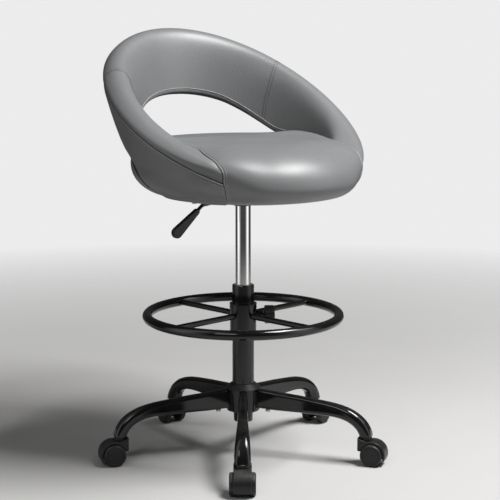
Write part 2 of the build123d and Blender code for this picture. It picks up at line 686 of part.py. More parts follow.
# Five casters, each trailing straight out from the column
for k, turn in enumerate(leg_turns):
    spot = facing(turn) * Pos(LEG_END_R, 0, 0)
    save(f"caster_{k + 1}_hood", spot * hood)
    save(f"caster_{k + 1}_stem", spot * stem)
    save(f"caster_{k + 1}_axle", spot * axle)
    save(f"caster_{k + 1}_wheel_left", spot * wheel_left)
    save(f"caster_{k + 1}_wheel_right", spot * wheel_right)
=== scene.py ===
"""Drafting chair: round bucket seat on a gas lift, foot ring, five-leg base and twin-wheel casters.

Metres. The origin is on the floor under the column, +Z is up and the seat faces -Y.
A direction round the column is its turn in degrees: 0 is the front, 90 is the sitter's left (+X).
"""

from math import atan2, cos, exp, hypot, pi, radians, sin, sqrt

import bmesh
import bpy
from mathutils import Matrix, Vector


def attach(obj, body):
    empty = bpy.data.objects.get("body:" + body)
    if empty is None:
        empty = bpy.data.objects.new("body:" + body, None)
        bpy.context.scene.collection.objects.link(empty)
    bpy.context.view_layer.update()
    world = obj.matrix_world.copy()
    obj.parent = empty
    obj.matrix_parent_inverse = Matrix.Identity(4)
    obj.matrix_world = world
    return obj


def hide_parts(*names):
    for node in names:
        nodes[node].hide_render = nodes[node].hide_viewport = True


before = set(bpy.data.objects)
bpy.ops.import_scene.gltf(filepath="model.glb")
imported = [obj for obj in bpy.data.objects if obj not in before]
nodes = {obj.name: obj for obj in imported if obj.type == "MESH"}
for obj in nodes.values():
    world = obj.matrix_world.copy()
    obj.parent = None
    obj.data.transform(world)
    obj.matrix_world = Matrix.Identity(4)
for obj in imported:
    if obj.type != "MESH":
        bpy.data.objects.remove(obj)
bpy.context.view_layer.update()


# ---------------------------------------------------------------- base, column and other black steel
# The legs are oval steel tube, bent down at the ends and bolted to a turned hub, and the column stands in the
# hub. All of it is powder coated gloss black: baked paint with a faint ripple, and dust on what faces up.
STEEL_BLACK = (0.0055, 0.0055, 0.0058)
PAINT_RUB = (0.035, 0.034, 0.033)
RING_RUB = (0.05, 0.048, 0.046)
PAINT_SHINE = 0.45
DUST = (0.24, 0.23, 0.215)
LEGS = range(1, 6)
SPOKES = range(1, 5)


def effect(name, inputs, outputs):
    """An empty shader node group with number inputs and outputs."""
    group = bpy.data.node_groups.new(name, "ShaderNodeTree")
    for label, value in inputs.items():
        socket = group.interface.new_socket(label, in_out="INPUT", socket_type="NodeSocketFloat")
        socket.default_value = value
    for label in outputs:
        group.interface.new_socket(label, in_out="OUTPUT", socket_type="NodeSocketFloat")
    return group, group.nodes.new("NodeGroupInput"), group.nodes.new("NodeGroupOutput")


def add(tree, kind, links=None, **values):
    """A node with its settings, and its sockets set to a number or linked to another socket."""
    node = tree.nodes.new(kind)
    for key, value in values.items():
        setattr(node, key, value)
    for label, value in (links or {}).items():
        if isinstance(value, bpy.types.NodeSocket):
            tree.links.new(value, node.inputs[label])
        else:
            node.inputs[label].default_value = value
    return node


def maths(tree, operation, a, b, clamp=False):
    """The result of one sum on two numbers or sockets."""
    return add(tree, "ShaderNodeMath", {0: a, 1: b}, operation=operation, use_clamp=clamp).outputs[0]


def spread(tree, value, low, high, to_low=0.0, to_high=1.0):
    """A value taken from one range to another and held inside it."""
    links = {"Value": value, "From Min": low, "From Max": high, "To Min": to_low, "To Max": to_high}
    return add(tree, "ShaderNodeMapRange", links).outputs["Result"]


def speckle(tree, place, scale, detail=2.0, rough=0.5):
    """Soft noise on the piece."""
    links = {"Vector": place, "Scale": scale, "Detail": detail, "Roughness": rough}
    return add(tree, "ShaderNodeTexNoise", links).outputs["Fac"]


# ripple of baked or moulded skin: a long wave with a fine tooth on it
skin_ripple, enter, leave = effect("skin_ripple", {"Wave": 300.0, "Tooth": 1400.0}, ["Height", "Tone"])
spot = add(skin_ripple, "ShaderNodeTexCoord").outputs["Object"]
wave = speckle(skin_ripple, spot, enter.outputs["Wave"])
tooth = speckle(skin_ripple, spot, enter.outputs["Tooth"], 3.0, 0.6)
height = maths(skin_ripple, "ADD", wave, maths(skin_ripple, "MULTIPLY", tooth, 0.35))
skin_ripple.links.new(height, leave.inputs["Height"])
skin_ripple.links.new(speckle(skin_ripple, spot, 14.0, 4.0, 0.6), leave.inputs["Tone"])

# dust lies on what faces up, thicker near the floor, in soft patches
dust_fall, enter, leave = effect("dust_fall", {"Amount": 0.3, "Reach": 0.45}, ["Mask"])
spot = add(dust_fall, "ShaderNodeTexCoord").outputs["Object"]
normal = add(dust_fall, "ShaderNodeNewGeometry").outputs["Normal"]
facing = add(dust_fall, "ShaderNodeSeparateXYZ", {0: normal}).outputs["Z"]
level = add(dust_fall, "ShaderNodeSeparateXYZ", {0: spot}).outputs["Z"]
up = spread(dust_fall, facing, 0.35, 1.0)
near = maths(dust_fall, "SUBTRACT", 1.0, maths(dust_fall, "DIVIDE", level, enter.outputs["Reach"]), True)
patch = spread(dust_fall, speckle(dust_fall, spot, 34.0, 5.0, 0.65), 0.36, 0.72)
fall = maths(dust_fall, "MULTIPLY", maths(dust_fall, "MULTIPLY", up, near), patch)
dust_fall.links.new(maths(dust_fall, "MULTIPLY", fall, enter.outputs["Amount"]), leave.inputs["Mask"])

# rubbing: thin lines and spots where a finish has been scraped
rub_marks, enter, leave = effect("rub_marks", {"Scale": 30.0, "Amount": 0.5}, ["Mask"])
spot = add(rub_marks, "ShaderNodeTexCoord").outputs["Object"]
long_way = add(rub_marks, "ShaderNodeMapping", {"Vector": spot, "Scale": (1.0, 1.0, 5.0)}).outputs["Vector"]
streak = spread(rub_marks, speckle(rub_marks, long_way, enter.outputs["Scale"], 8.0, 0.72), 0.62, 0.72)
rub_marks.links.new(maths(rub_marks, "MULTIPLY", streak, enter.outputs["Amount"]), leave.inputs["Mask"])


def new_material(name, metallic=0.0, specular=0.5):
    """A node material with its shader, ready for a finish to be linked in."""
    made = bpy.data.materials.new(name)
    made.use_nodes = True
    shader = made.node_tree.nodes["Principled BSDF"]
    shader.inputs["Metallic"].default_value = metallic
    shader.inputs["Specular IOR Level"].default_value = specular
    return made, made.node_tree, shader


def placed(tree, group, **values):
    """A shared effect placed in a material with its own values."""
    node = tree.nodes.new("ShaderNodeGroup")
    node.node_tree = group
    for label, value in values.items():
        node.inputs[label].default_value = value
    return node.outputs


def mixed(tree, mask, first, second):
    """Two colours, or a socket and a colour, mixed by a mask."""
    node = tree.nodes.new("ShaderNodeMix")
    node.data_type = "RGBA"
    tree.links.new(mask, node.inputs["Factor"])
    for socket, value in ((node.inputs[6], first), (node.inputs[7], second)):
        if isinstance(value, bpy.types.NodeSocket):
            tree.links.new(value, socket)
        else:
            socket.default_value = (*value, 1)
    return node.outputs[2]


def dent(tree, shader, height, strength, distance):
    """Relief on the surface from a height."""
    bump = add(tree, "ShaderNodeBump", {"Height": height, "Strength": strength, "Distance": distance})
    tree.links.new(bump.outputs["Normal"], shader.inputs["Normal"])


def painted(name, colour, rubbed, gloss, dust=0.3, rub=0.4, wave=300.0, specular=0.5):
    """Paint or moulded skin: ripple, tone, rubbed marks and dust."""
    made, tree, shader = new_material(name, specular=specular)
    ripple = placed(tree, skin_ripple, Wave=wave, Tooth=wave * 4)
    lying = placed(tree, dust_fall, Amount=dust)["Mask"]
    marks = placed(tree, rub_marks, Amount=rub)["Mask"]
    tone = mixed(tree, ripple["Tone"], [c * 0.8 for c in colour], [c * 1.25 for c in colour])
    worn = mixed(tree, marks, tone, rubbed)
    tree.links.new(mixed(tree, lying, worn, DUST), shader.inputs["Base Color"])
    rough = spread(tree, ripple["Tone"], 0.3, 0.7, gloss - 0.04, gloss + 0.05)
    rough = maths(tree, "ADD", rough, maths(tree, "MULTIPLY", marks, 0.18))
    rough = maths(tree, "ADD", rough, maths(tree, "MULTIPLY", lying, 0.9), True)
    tree.links.new(rough, shader.inputs["Roughness"])
    dent(tree, shader, ripple["Height"], 0.35 * gloss, 0.0004)
    return made


def finish(material, *names):
    """Puts a material on CAD pieces."""
    for name in names:
        nodes[name].data.materials.clear()
        nodes[name].data.materials.append(material)


black_steel = painted(
    "black_powder_coat", STEEL_BLACK, PAINT_RUB, 0.1, dust=0.1, rub=0.25, specular=PAINT_SHINE
)
finish(black_steel, "base_hub", "column_tube", "back_frame", "seat_plate", "lever_rod", "foot_hub")
finish(black_steel, *[f"base_leg_{k}" for k in LEGS])

# the foot ring is the same paint, rubbed by shoes
ring_steel = painted("foot_ring_paint", STEEL_BLACK, RING_RUB, 0.11, dust=0.1, rub=0.8, specular=PAINT_SHINE)
finish(ring_steel, "foot_ring", *[f"foot_spoke_{k}" for k in SPOKES])


# ---------------------------------------------------------------- casters, knob and other black nylon
# Hoods, wheels, knob, lever grip, hub cone and sleeve are injection moulded nylon, black right through, with
# a satin skin. Hoods turn on stems in the leg ends, and the wheels run on axles pressed through the hoods.
# The treads pick up floor dust and are rubbed grey.
NYLON = (0.0095, 0.0095, 0.0098)
NYLON_RUB = (0.03, 0.03, 0.03)
TREAD_RUB = (0.06, 0.058, 0.055)
NYLON_SHINE = 0.36

black_nylon = painted(
    "black_nylon", NYLON, NYLON_RUB, 0.36, dust=0.18, rub=0.15, wave=900.0, specular=NYLON_SHINE
)
finish(black_nylon, "hub_cap", "caster_sockets", "lever_grip", "clamp_knob", "foot_sleeve")
tread_nylon = painted(
    "tread_nylon", NYLON, TREAD_RUB, 0.42, dust=0.3, rub=0.9, wave=700.0, specular=NYLON_SHINE
)
for k in LEGS:
    finish(black_nylon, f"caster_{k}_hood")
    finish(tread_nylon, f"caster_{k}_wheel_left", f"caster_{k}_wheel_right")


# ---------------------------------------------------------------- gas lift and fasteners
# The lift's cylinder is ground and chromed. It slides in the column and sits in the seat plate by its taper.
# Rod, bolts, pins, bearing and axles are zinc plated, and the guide bush in the column is pale acetal.
CHROME_TONES = ((0.74, 0.74, 0.75), (0.82, 0.82, 0.82))
ZINC_TONES = ((0.36, 0.36, 0.37), (0.52, 0.52, 0.51))
ACETAL = (0.58, 0.57, 0.54)
ACETAL_RUB = (0.45, 0.44, 0.42)


def plated(name, tones, rough, wave, tooth, relief, depth):
    """Plated metal between two tones and two roughnesses, with a faint ripple."""
    made, tree, shader = new_material(name, 1.0)
    ripple = placed(tree, skin_ripple, Wave=wave, Tooth=tooth)
    tree.links.new(mixed(tree, ripple["Tone"], *tones), shader.inputs["Base Color"])
    tree.links.new(spread(tree, ripple["Tone"], 0.3, 0.7, *rough), shader.inputs["Roughness"])
    dent(tree, shader, ripple["Height"], relief, depth)
    return made


chrome = plated("chrome", CHROME_TONES, (0.05, 0.1), 60.0, 900.0, 0.02, 0.0002)
finish(chrome, "gas_cylinder")
zinc = plated("zinc_plate", ZINC_TONES, (0.26, 0.42), 200.0, 1800.0, 0.08, 0.0003)
finish(zinc, "leg_bolts", "thrust_bearing", "piston_rod", "rod_clip", "release_pin", "lever_pivot",
       "plate_bolts", "frame_bolts")
for k in LEGS:
    finish(zinc, f"caster_{k}_stem", f"caster_{k}_axle")
acetal = painted("pale_acetal", ACETAL, ACETAL_RUB, 0.4, dust=0.05, rub=0.2, wave=600.0)
finish(acetal, "guide_bush")


# ---------------------------------------------------------------- seat board
# A round plywood board under the seat, bolted to the seat plate. The grey cover is turned over its edge, and
# black dust cloth of a plain spun weave is stapled on below.
BOARD_MIDDLE = (0.0, -0.013, 0.608)
HEM_START, HEM_FULL = 0.1725, 0.1735
HEM_GREY = (0.15, 0.152, 0.155)
CLOTH_TONES = ((0.009, 0.009, 0.009), (0.022, 0.022, 0.022))
YARN_SCALE = 330.0

board_cloth, tree, shader = new_material("black_dust_cloth", specular=0.2)
spot = add(tree, "ShaderNodeTexCoord").outputs["Object"]
yarn = {"Vector": spot, "Scale": YARN_SCALE, "Distortion": 0.6}
warp = add(tree, "ShaderNodeTexWave", yarn, bands_direction="X").outputs["Fac"]
weft = add(tree, "ShaderNodeTexWave", yarn, bands_direction="Y").outputs["Fac"]
weave = maths(tree, "ADD", warp, weft)
cloth = mixed(tree, spread(tree, weave, 0.4, 1.6), *CLOTH_TONES)
middle = add(tree, "ShaderNodeVectorMath", {0: spot, 1: BOARD_MIDDLE}, operation="DISTANCE").outputs["Value"]
hem = spread(tree, middle, HEM_START, HEM_FULL)
tree.links.new(mixed(tree, hem, cloth, HEM_GREY), shader.inputs["Base Color"])
shader.inputs["Roughness"].default_value = 0.9
dent(tree, shader, weave, 0.3, 0.0004)
finish(board_cloth, "seat_board")


# ---------------------------------------------------------------- seat pad
# The round seat: moulded foam on the board under a cover of grey coated cloth. The cover runs over a deep
# rolled front edge and is turned under and stapled below the board.
SEAT_R, SEAT_Y = 0.259, -0.013
SEAT_LOW, SEAT_WAIST, SEAT_EDGE, SEAT_TOP = 0.6008, 0.674, 0.727, 0.733
FRONT_WAIST = 0.640
FRONT_TUCK, SIDE_TUCK = 0.075, 0.097
FRONT_ROLL, NOSE_ROLL, SIDE_ROLL, REAR_ROLL = 0.135, 0.105, 0.040, 0.062
# turns over which the pad changes from one form to the next
NOSE_TURNS, TUCK_TURNS, SIDE_TURNS, REAR_TURNS = (24, 52), (30, 84), (72, 102), (118, 140)
# the side is drawn in between two turns, and the edge is pushed up by the band at one
SIDE_HOLLOW, HOLLOW_START, HOLLOW_END = 0.011, (82, 92), (97, 116)
EDGE_LIFT, LIFT_TURN, LIFT_SPAN = 0.006, 112, 11
# reach from the foot of the side, and height, of the cover turned under the board
UNDER_R, UNDER_Z = 0.06, 0.604
TURNED_UNDER = [(-0.018, UNDER_Z), (-0.016, 0.6012), (-0.010, 0.6002)]
SEAT_STEPS, SIDE_STEPS, CROWN_STEPS = 144, 10, 12
TOP_SHARES = (0.0, 0.12, 0.24, 0.37, 0.5, 0.63, 0.76, 0.88)
COVER_GREY = (0.178, 0.181, 0.184)
COVER_GLOSS = 0.41


def ease(low, high, value):
    """0 below low, 1 above high, smooth between."""
    part = min(1.0, max(0.0, (value - low) / (high - low)))
    return part * part * (3 - 2 * part)


def at(turn, reach, height):
    """A point from its turn round the column, its reach and its height."""
    a = radians(turn)
    return (reach * sin(a), -reach * cos(a), height)


def seat_roll(turn):
    """Width of the rolled upper edge: deep in front, tight at the sides, wider again at the back."""
    nose = FRONT_ROLL + (NOSE_ROLL - FRONT_ROLL) * ease(*NOSE_TURNS, turn)
    side = nose + (SIDE_ROLL - NOSE_ROLL) * ease(*SIDE_TURNS, turn)
    return side + (REAR_ROLL - SIDE_ROLL) * ease(*REAR_TURNS, turn)


def seat_tuck(turn):
    """How far the lower side is drawn in under the seat: more at the sides than in front."""
    return FRONT_TUCK + (SIDE_TUCK - FRONT_TUCK) * ease(*TUCK_TURNS, turn)


def seat_ring(turn):
    """Outline of the pad from the middle of its underside to the middle of its top."""
    roll, tuck = seat_roll(turn), seat_tuck(turn)
    waist = FRONT_WAIST + (SEAT_WAIST - FRONT_WAIST) * ease(*NOSE_TURNS, turn)
    foot = SEAT_R - tuck
    hollow = SIDE_HOLLOW * ease(*HOLLOW_START, turn) * (1 - ease(*HOLLOW_END, turn))
    edge = SEAT_EDGE + EDGE_LIFT * exp(-(((turn - LIFT_TURN) / LIFT_SPAN) ** 2))
    line = [(UNDER_R, UNDER_Z)] + [(foot + out, z) for out, z in TURNED_UNDER]
    for k in range(SIDE_STEPS):
        a = pi / 2 * k / SIDE_STEPS
        line.append((foot + tuck * sin(a) - hollow, waist - (waist - SEAT_LOW) * cos(a)))
    for k in range(CROWN_STEPS):
        a = pi / 2 * k / CROWN_STEPS
        out = SEAT_R - roll + roll * cos(a)
        line.append((out - hollow * (1 - sin(a)), waist + (edge - waist) * sin(a)))
    for part in TOP_SHARES:
        out = (SEAT_R - roll) * (1 - part)
        line.append((out, edge + (SEAT_TOP - edge) * (0.5 - 0.5 * cos(pi * part))))
    return line


def loop_mesh(name, rows, closed):
    """A closed skin from rows of points. Either the rows go round and close, or each row is itself a ring."""
    made = bmesh.new()
    lines = [[made.verts.new(point) for point in row] for row in rows]
    pairs = list(zip(lines, lines[1:]))
    if closed:
        pairs.append((lines[-1], lines[0]))
    for one, two in pairs:
        for k in range(len(one) - 1 if closed else len(one)):
            n = (k + 1) % len(one)
            made.faces.new((one[k], one[n], two[n], two[k]))
    if closed:
        for k in (0, -1):
            made.faces.new([line[k] for line in lines])
    else:
        for line in (lines[0], lines[-1]):
            made.faces.new(line)
    bmesh.ops.recalc_face_normals(made, faces=made.faces)
    mesh = bpy.data.meshes.new(name)
    made.to_mesh(mesh)
    made.free()
    piece = bpy.data.objects.new(name, mesh)
    bpy.context.scene.collection.objects.link(piece)
    return piece


def only(piece):
    """Selects one piece and nothing else."""
    bpy.ops.object.select_all(action="DESELECT")
    piece.select_set(True)
    bpy.context.view_layer.objects.active = piece


def smoothed(piece):
    """Subdivides the skin once, for good, and shades it smooth."""
    only(piece)
    soft = piece.modifiers.new("soft", "SUBSURF")
    soft.levels = soft.render_levels = 1
    bpy.ops.object.modifier_apply(modifier="soft")
    bpy.ops.object.shade_smooth()


# grain of the coated cloth: small pebbles with creases between, and a slow change of tone; the creases are
# darkened as painted shade
cover_grain, enter, leave = effect("cover_grain", {"Pebble": 620.0}, ["Height", "Tone", "CreaseShade"])
spot = add(cover_grain, "ShaderNodeTexCoord").outputs["Object"]
cells = {"Vector": spot, "Scale": enter.outputs["Pebble"]}
pebble = add(cover_grain, "ShaderNodeTexVoronoi", cells, feature="SMOOTH_F1").outputs["Distance"]
fine = speckle(cover_grain, spot, 1500.0, 3.0, 0.6)
height = maths(cover_grain, "SUBTRACT", maths(cover_grain, "MULTIPLY", fine, 0.4), pebble)
cover_grain.links.new(height, leave.inputs["Height"])
slow = speckle(cover_grain, spot, 9.0, 3.0, 0.55)
cover_grain.links.new(slow, leave.inputs["Tone"])
crease_shade = spread(cover_grain, pebble, 0.35, 0.75)
cover_grain.links.new(crease_shade, leave.inputs["CreaseShade"])


def covering(name, colour, gloss):
    """Coated cloth in one colour, darkened in the grain's creases as painted shade."""
    made, tree, shader = new_material(name)
    grain = placed(tree, cover_grain)
    tone = mixed(tree, grain["Tone"], [c * 0.93 for c in colour], [c * 1.07 for c in colour])
    tree.links.new(mixed(tree, grain["CreaseShade"], tone, [c * 0.8 for c in colour]), shader.inputs["Base Color"])
    rough = spread(tree, grain["Tone"], 0.3, 0.7, gloss - 0.04, gloss + 0.04)
    tree.links.new(rough, shader.inputs["Roughness"])
    dent(tree, shader, grain["Height"], 0.1, 0.0004)
    return made


grey_cover = covering("grey_coated_cloth", COVER_GREY, COVER_GLOSS)
rows = []
for k in range(SEAT_STEPS):
    turn = 360 * k / SEAT_STEPS
    row = [at(turn, reach, height) for reach, height in seat_ring(min(turn, 360 - turn))]
    rows.append([(x, y + SEAT_Y, z) for x, y, z in row])
seat_pad = loop_mesh("seat_pad", rows, True)
smoothed(seat_pad)
seat_pad.data.materials.append(grey_cover)
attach(seat_pad, "seat")
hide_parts("seat_cushion")


# ---------------------------------------------------------------- backrest
# One padded band wraps the seat from a front corner round the back to the other: foam on a bent steel hoop
# that is bolted to the seat board, an outer panel and a wide top roll in the same grey cover, sewn together
# along the outer side of the roll.
ROLL_R, ROLL_Y, ROLL_Z, ROLL_SLOPE = 0.2635, 0.0315, 0.7575, 0.623
WAIST_R = 0.261
EDGE_ROUND = 0.009
# padding: the panel and the roll beside the seam swell, and the seam draws the cover in
PANEL_PUFF, ROLL_PUFF, SEAM_PINCH = 0.0025, 0.0022, 0.0035
BAND_FRONT = 45.0
# beyond this turn the lower edge is near black where it turns under: painted shade under the edge
SHADED_EDGE_START = 92.0
EDGE_SHADE_BLACK = (0.008, 0.008, 0.008)
# turn and height of the band's lower edge
LOWER_EDGE = [
    (40, 0.6035), (55, 0.6035), (70, 0.607), (80, 0.612), (88, 0.617), (91, 0.622), (94, 0.632), (97, 0.648),
    (100, 0.666), (105, 0.690), (115, 0.711), (125, 0.722), (135, 0.747), (145, 0.774), (155, 0.7965),
    (165, 0.8095), (175, 0.8155), (185, 0.8155),
]
# turn, and how far the roll stands out, up and in from its middle line, and how square it is
ROLL_OUT = [(40, 0.0285), (50, 0.027), (60, 0.0275), (70, 0.029), (80, 0.0305), (90, 0.031), (185, 0.031)]
ROLL_UP = [(40, 0.033), (47, 0.0385), (52, 0.039), (60, 0.036), (70, 0.033), (80, 0.0315), (185, 0.031)]
ROLL_SQUARE = [(40, 3.4), (50, 3.5), (55, 3.0), (60, 2.6), (70, 2.2), (80, 2.0), (185, 2.0)]
INNER_REACH = [(40, 0.036), (60, 0.041), (80, 0.042), (185, 0.042)]
# the inner side curves in below the roll and runs straight down from the knee
KNEE_LOW, KNEE_BEND = 0.716, 0.046
# at the front the band's foot is this thick, and over these turns it opens to the full wall
FOOT_THICK, FOOT_TURNS = 0.02, (90, 104)
# where the front end closes, measured from the middle of the roll
END_OUT, END_DROP = 0.004, 0.03
PANEL_STEPS, ROLL_STEPS, CURVE_STEPS, WALL_STEPS, FOOT_STEPS = 15, 12, 24, 28, 8


def between(table, x):
    """Smooth value from a table of places and values."""
    k = max(1, min(len(table) - 1, sum(1 for place, value in table if place <= x)))
    (x0, y0), (x1, y1) = table[k - 1], table[k]
    before = table[max(0, k - 2)]
    after = table[min(len(table) - 1, k + 1)]
    step = x1 - x0
    rise_0 = (y1 - before[1]) / (x1 - before[0]) * step
    rise_1 = (after[1] - y0) / (after[0] - x0) * step
    t = min(1.0, max(0.0, (x - x0) / step))
    bend = (2 * t**3 - 3 * t**2 + 1) * y0 + (t**3 - 2 * t**2 + t) * rise_0
    return bend + (3 * t**2 - 2 * t**3) * y1 + (t**3 - t**2) * rise_1


def circle_reach(radius, centre_y, turn):
    """Distance from the column to a circle centred at (0, centre_y)."""
    a = radians(turn)
    return -centre_y * cos(a) + sqrt(radius**2 - (centre_y * sin(a)) ** 2)


def roll_middle(turn):
    """Reach and height of the middle of the top roll."""
    reach = circle_reach(ROLL_R, ROLL_Y, turn)
    return reach, ROLL_Z - ROLL_SLOPE * reach * cos(radians(turn))


def panel_reach(turn, z):
    """Reach of the outer panel at a height: tucked under the seat below, leaning out to the seam above."""
    waist = circle_reach(WAIST_R, SEAT_Y, turn)
    if z < SEAT_WAIST:
        drop = min(1.0, (SEAT_WAIST - z) / (SEAT_WAIST - SEAT_LOW))
        return waist - seat_tuck(turn) * (1 - sqrt(1 - drop**2))
    reach, middle = roll_middle(turn)
    if middle <= SEAT_WAIST:
        return waist
    return waist + (reach + between(ROLL_OUT, turn) - waist) * (z - SEAT_WAIST) / (middle - SEAT_WAIST)


def evenly(line, count):
    """Points spaced evenly along a line of points, without its first one."""
    lengths = [0.0]
    for (r0, z0), (r1, z1) in zip(line, line[1:]):
        lengths.append(lengths[-1] + hypot(r1 - r0, z1 - z0))
    spaced = []
    k = 0
    for step in range(1, count + 1):
        want = lengths[-1] * step / count
        while k < len(line) - 2 and lengths[k + 1] < want:
            k += 1
        part = (want - lengths[k]) / (lengths[k + 1] - lengths[k])
        spaced.append(tuple(a + (b - a) * part for a, b in zip(line[k], line[k + 1])))
    return spaced


def band_outline(turn, sink=0.0):
    """Outline of the band: up the outer panel, over the roll, down the inner side and round the edge."""
    reach, middle = roll_middle(turn)
    low = between(LOWER_EDGE, turn) + EDGE_ROUND
    out, up, inn = between(ROLL_OUT, turn), between(ROLL_UP, turn), between(INNER_REACH, turn)
    bend = 2 / between(ROLL_SQUARE, turn)
    line = []
    for k in range(PANEL_STEPS):
        part = (k / PANEL_STEPS) ** 0.9
        z = low + (middle - low) * part
        puff = PANEL_PUFF * sin(pi * part) ** 0.6
        line.append((panel_reach(turn, z) + puff, z))
    for k in range(ROLL_STEPS + 1):
        a = pi / 2 * k / ROLL_STEPS
        pinch = SEAM_PINCH * exp(-((a / 0.16) ** 2)) - ROLL_PUFF * exp(-(((a - 0.45) / 0.3) ** 2))
        line.append((reach + (out - pinch) * max(0.0, cos(a)) ** bend, middle + up * sin(a) ** bend))
    top = middle + up
    knee = max(low, KNEE_LOW)
    bent = top - min(KNEE_BEND, 0.6 * (top - knee))
    corners = [(reach, top), (reach - 0.74 * inn, top), (reach - 0.93 * inn, bent), (reach - inn, knee)]
    side = []
    for k in range(CURVE_STEPS + 1):
        t = k / CURVE_STEPS
        share = ((1 - t) ** 3, 3 * t * (1 - t) ** 2, 3 * t * t * (1 - t), t**3)
        side.append(tuple(sum(s * c[axis] for s, c in zip(share, corners)) for axis in (0, 1)))
    foot = reach - inn
    if knee > low:
        tucked = panel_reach(turn, low) - FOOT_THICK
        foot = tucked + (foot - tucked) * ease(*FOOT_TURNS, turn)
        side.append((foot, low))
    line += evenly(side, WALL_STEPS)
    heel = panel_reach(turn, low)
    for k in range(1, FOOT_STEPS):
        part = k / FOOT_STEPS
        line.append((foot + (heel - foot) * (0.5 - 0.5 * cos(pi * part)), low - EDGE_ROUND * sin(pi * part)))
    if sink:
        mid = (reach + END_OUT, middle - END_DROP)
        line = [(r + (mid[0] - r) * sink, z + (mid[1] - z) * sink) for r, z in line]
    return line


# sections of one half, closer together at the front end and where the lower edge climbs
half_turns = [BAND_FRONT + 1.25 * k for k in range(12)] + [60 + 2.5 * k for k in range(11)]
half_turns += [87 + 1.25 * k for k in range(17)] + [108.5 + 2.5 * k for k in range(29)]
# the front end is rounded off: how far ahead of it, and how far drawn in
FRONT_END = ((1.0, 0.3), (0.5, 0.08))
outlines = [(BAND_FRONT - lead, band_outline(BAND_FRONT - lead, sink)) for lead, sink in FRONT_END]
outlines += [(turn, band_outline(turn)) for turn in half_turns]
outlines += [(360 - turn, outline) for turn, outline in reversed(outlines)]
rows = [[at(turn, r, z) for r, z in outline] for turn, outline in outlines]
backrest = loop_mesh("backrest", rows, False)
backrest.data.materials.append(grey_cover)
# a second, near-black material on the rounded-under lower edge: painted shade under the edge
backrest.data.materials.append(covering("painted_edge_shade", EDGE_SHADE_BLACK, 0.7))
around = len(rows[0])
for face in backrest.data.polygons[: around * (len(rows) - 1)]:
    turn = outlines[face.index // around][0]
    if face.index % around >= around - FOOT_STEPS + 1 and SHADED_EDGE_START < min(turn, 360 - turn):
        face.material_index = 1
smoothed(backrest)
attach(backrest, "seat")
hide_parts("backrest_cushion")


# ---------------------------------------------------------------- seams
# The covers are sewn with thick thread: a lapped seam along the outer side of the roll with a row of stitches
# below it, a seam where seat and roll meet, and a cross seam over the band on each side of the back.
THREAD = (0.36, 0.36, 0.355)
# the welts and piping are paler than the cover: painted highlight along their ridges
WELT_HIGHLIGHT_GREY = (0.34, 0.34, 0.34)
# the grooves' near black is painted shade in the seam creases
GROOVE_SHADE_GREY = (0.02, 0.02, 0.021)
STITCH_PITCH, STITCH_LONG, STITCH_THICK = 0.0052, 0.0040, 0.0011
# turn between two points of a seam
SEAM_STEP = 1.5

welt_highlight_cover = covering("painted_welt_highlight", WELT_HIGHLIGHT_GREY, 0.42)
groove_shade_cover = covering("painted_groove_shade", GROOVE_SHADE_GREY, 0.6)
thread, tree, shader = new_material("pale_thread", specular=0.3)
spot = add(tree, "ShaderNodeTexCoord").outputs["Object"]
ply = speckle(tree, spot, 2600.0, 2.0)
tone = mixed(tree, ply, [c * 0.8 for c in THREAD], [c * 1.15 for c in THREAD])
tree.links.new(tone, shader.inputs["Base Color"])
shader.inputs["Roughness"].default_value = 0.65
dent(tree, shader, ply, 0.3, 0.0003)


def path_of(name, points):
    """A curve through points."""
    path = bpy.data.curves.new(name, "CURVE")
    path.dimensions = "3D"
    line = path.splines.new("POLY")
    line.points.add(len(points) - 1)
    for place, point in zip(line.points, points):
        place.co = (*point, 1)
    piece = bpy.data.objects.new(name, path)
    bpy.context.scene.collection.objects.link(piece)
    return piece


def seam_cord(name, points, thick, material, swell=None):
    """A round cord along a seam, which can swell along its length."""
    cord = path_of(name, points)
    for place, share in zip(cord.data.splines[0].points, swell or []):
        place.radius = share
    cord.data.bevel_depth = thick / 2
    cord.data.bevel_resolution = 2
    cord.data.use_fill_caps = True
    only(cord)
    bpy.ops.object.convert(target="MESH")
    cord = bpy.context.object
    bpy.ops.object.shade_smooth()
    cord.data.materials.clear()
    cord.data.materials.append(material)
    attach(cord, "seat")


